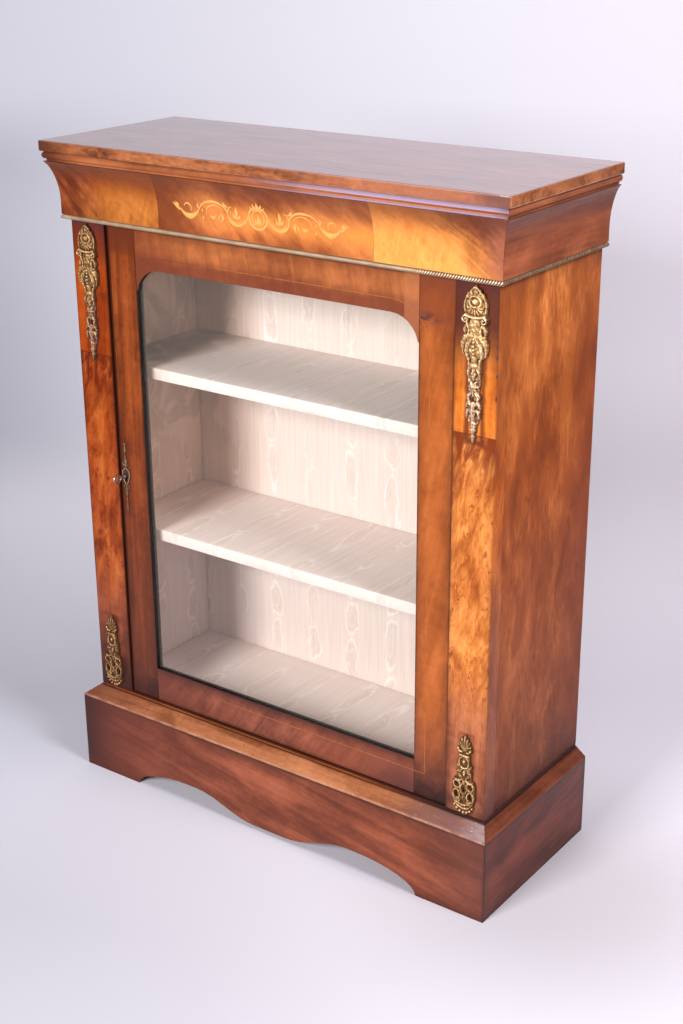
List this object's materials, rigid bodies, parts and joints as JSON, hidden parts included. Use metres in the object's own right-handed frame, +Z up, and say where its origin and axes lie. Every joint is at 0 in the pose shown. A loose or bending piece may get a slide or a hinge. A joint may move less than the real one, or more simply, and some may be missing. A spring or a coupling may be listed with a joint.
{
  "type": "side cabinet",
  "caption": "Glazed side cabinet in veneered walnut with a lockable door on pin pivots, silk-lined shelves, gilt mounts and a shaped plinth.",
  "frame": {"origin": "on the floor, under the middle of the cabinet's overall box", "axes": "+X to the cabinet's left-hand side as it faces the room, which is the viewer's right; +Y from the door to the back; +Z up"},
  "size_m": [0.806, 0.304, 1.0503],
  "materials": {
    "walnut": "polished walnut veneer",
    "burr_walnut": "polished burr walnut veneer",
    "top_veneer": "polished dark walnut veneer",
    "ebonised": "black stained and polished",
    "pine": "bare planed pine",
    "silk_lining": "watered silk over thin board",
    "silk_board": "pine board covered in watered silk",
    "glass": "clear",
    "gilt": "gilt bronze with a dark patina",
    "brass": "plain brass",
    "steel": "aged steel"
  },
  "bodies": {
    "cabinet": {"top_moulding_front": "walnut", "top_moulding_left": "walnut", "top_moulding_right": "walnut", "frieze_cove_front": "walnut", "frieze_cove_left": "walnut", "frieze_cove_right": "walnut", "plinth_front": "walnut", "plinth_left": "walnut", "plinth_right": "walnut", "plinth_moulding_front": "walnut", "plinth_moulding_left": "walnut", "plinth_moulding_right": "walnut", "side_panel_left": "walnut", "side_panel_right": "walnut", "frieze_rail": "walnut", "door_stop": "walnut", "pilaster_left": "burr_walnut", "pilaster_right": "burr_walnut", "top_board": "top_veneer", "bottom_board": "ebonised", "back_panel": "pine", "carcase_top": "pine", "plinth_back": "pine", "lining_floor": "silk_lining", "lining_back": "silk_lining", "lining_left": "silk_lining", "lining_right": "silk_lining", "shelf_lower": "silk_board", "shelf_upper": "silk_board", "bearer_lower_left": "silk_board", "bearer_lower_right": "silk_board", "bearer_upper_left": "silk_board", "bearer_upper_right": "silk_board", "gilt_bead_front": "gilt", "gilt_bead_left": "gilt", "gilt_bead_right": "gilt", "upper_mount_left": "gilt", "upper_mount_right": "gilt", "lower_mount_left": "gilt", "lower_mount_right": "gilt", "pivot_pin_lower": "brass", "pivot_pin_upper": "brass", "keep_plate": "brass"},
    "door": {"door_stile_left": "walnut", "door_stile_right": "walnut", "door_rail_bottom": "walnut", "door_rail_top": "walnut", "glass_pane": "glass", "glazing_bead_left": "ebonised", "glazing_bead_right": "ebonised", "glazing_bead_bottom": "ebonised", "glazing_bead_top": "ebonised", "pivot_socket_lower": "brass", "pivot_socket_upper": "brass", "lock_case": "brass", "escutcheon": "gilt"},
    "key": {"key": "steel"},
    "bolt": {"lock_bolt": "steel"}
  },
  "joints": [
    {"name": "door_hinge", "type": "hinge", "parent": "cabinet", "child": "door", "pos_m": [0.2941, -0.1122, 0.541], "axis": [0, 0, 1], "range_deg": [0, 110]},
    {"name": "key_turn", "type": "hinge", "parent": "door", "child": "key", "pos_m": [-0.2945, -0.118, 0.535], "axis": [0, 1, 0], "range_deg": [0, 90]},
    {"name": "bolt_slide", "type": "slide", "parent": "door", "child": "bolt", "axis": [-1, 0, 0], "range_m": [0, 0.008]}
  ],
  "couplings": [
    {"joint": "key_turn", "follows": "bolt_slide", "rad_per_m": 196.35}
  ]
}
